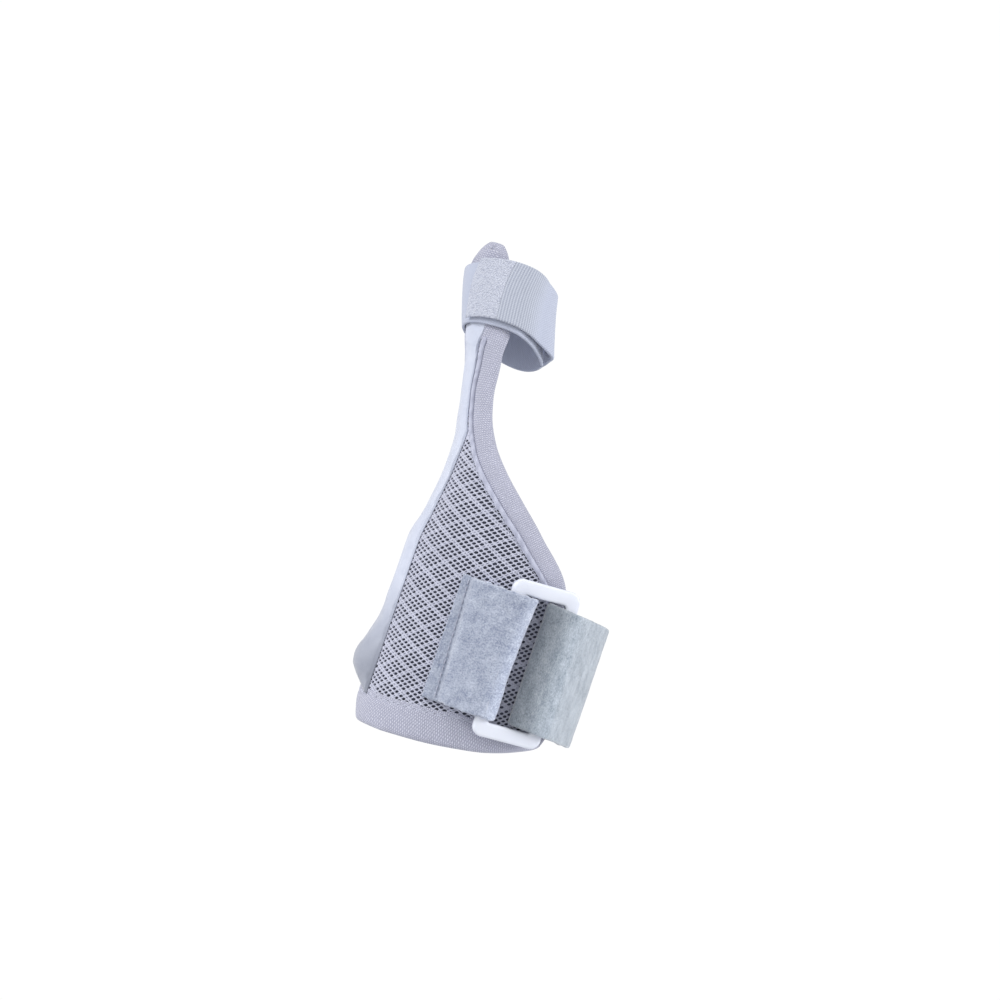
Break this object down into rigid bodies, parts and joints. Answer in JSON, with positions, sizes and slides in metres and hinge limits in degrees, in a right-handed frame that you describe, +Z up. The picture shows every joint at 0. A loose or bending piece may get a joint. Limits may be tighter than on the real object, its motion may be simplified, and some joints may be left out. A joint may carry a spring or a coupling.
{
  "type": "thumb spica splint",
  "caption": "Wrap-round wrist and thumb splint of padded mesh with a bound edge, a plush strap through a plastic ring and an elastic thumb strap.",
  "frame": {"origin": "middle of the wrist hollow, where the wearer's wrist passes", "axes": "+Z up as the splint stands in the picture; the arm runs along (0.326, 0, 0.946); the palm side faces -Y; the thumb side is towards -X"},
  "size_m": [0.1001, 0.0716, 0.1997],
  "materials": {
    "spacer_mesh": "knitted polyester spacer mesh, light blue-grey",
    "twill_tape": "woven twill tape, light lavender-grey",
    "soft_jersey": "smooth brushed knit over a pad",
    "plush_loop": "brushed loop fabric, blue-grey",
    "hook_tape": "hook tape, light grey",
    "ribbed_elastic": "woven elastic with fine ribs across it",
    "white_plastic": "moulded white plastic, satin"
  },
  "bodies": {
    "root": {"mesh_panel": "spacer_mesh", "edge_binding": "twill_tape", "palm_piping": "twill_tape", "back_piping": "twill_tape", "stay_sleeve": "soft_jersey", "ring": "white_plastic", "ring_loop": "plush_loop", "wrist_strap": "plush_loop", "wrist_hook_tab": "hook_tape", "thumb_strap": "ribbed_elastic", "thumb_hook_tab": "hook_tape"}
  },
  "joints": []
}
